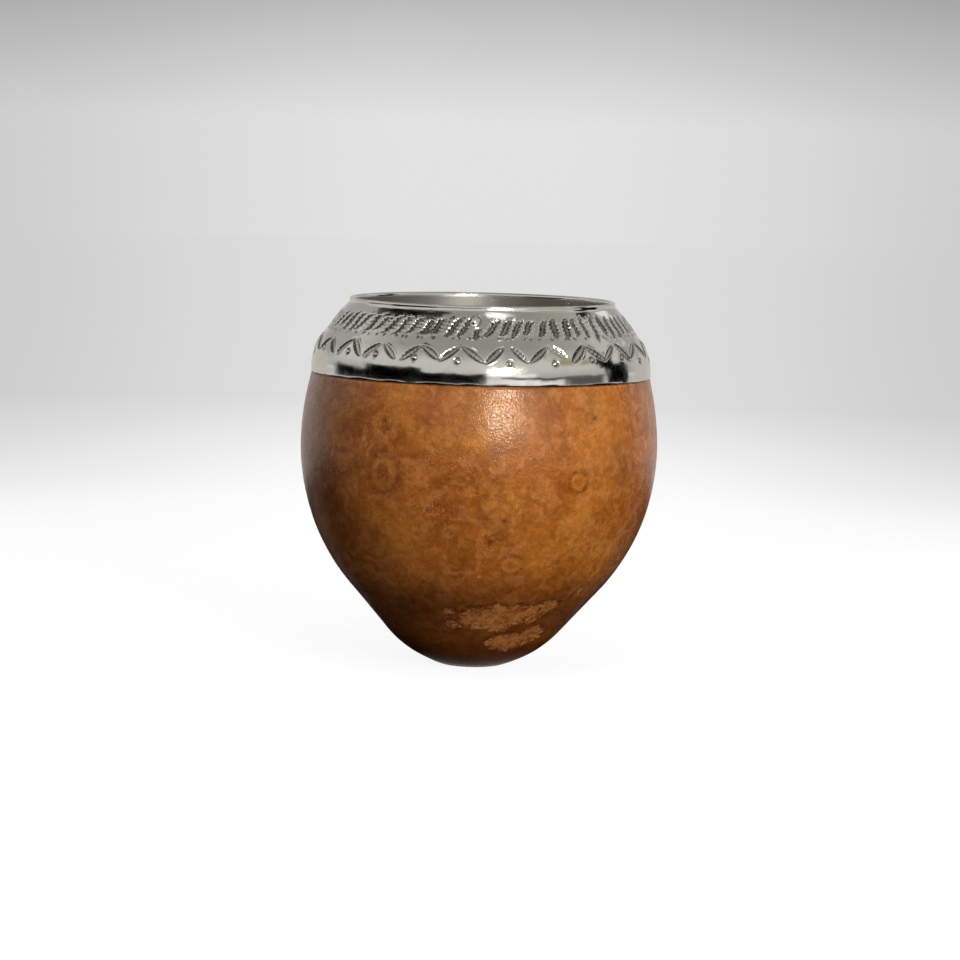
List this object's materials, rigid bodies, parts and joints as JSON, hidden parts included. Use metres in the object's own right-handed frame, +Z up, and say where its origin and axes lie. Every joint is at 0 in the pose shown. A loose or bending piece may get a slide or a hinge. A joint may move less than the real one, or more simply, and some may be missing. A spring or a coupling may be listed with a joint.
{
  "type": "mate cup",
  "caption": "Round gourd cup with a hollow body, a small flat to stand on, and a polished metal collar with a rolled lip, an inner sleeve and chased leaf marks.",
  "frame": {"origin": "centre of the small flat that the cup rests on", "axes": "+Z up along the cup's axis, through the middle of its mouth; -Y towards the side that the picture shows"},
  "size_m": [0.088, 0.088, 0.0901],
  "materials": {
    "gourd": "varnished dry gourd skin",
    "collar_metal": "polished"
  },
  "bodies": {
    "root": {"gourd_shell": "gourd", "rim_collar": "collar_metal"}
  },
  "joints": []
}
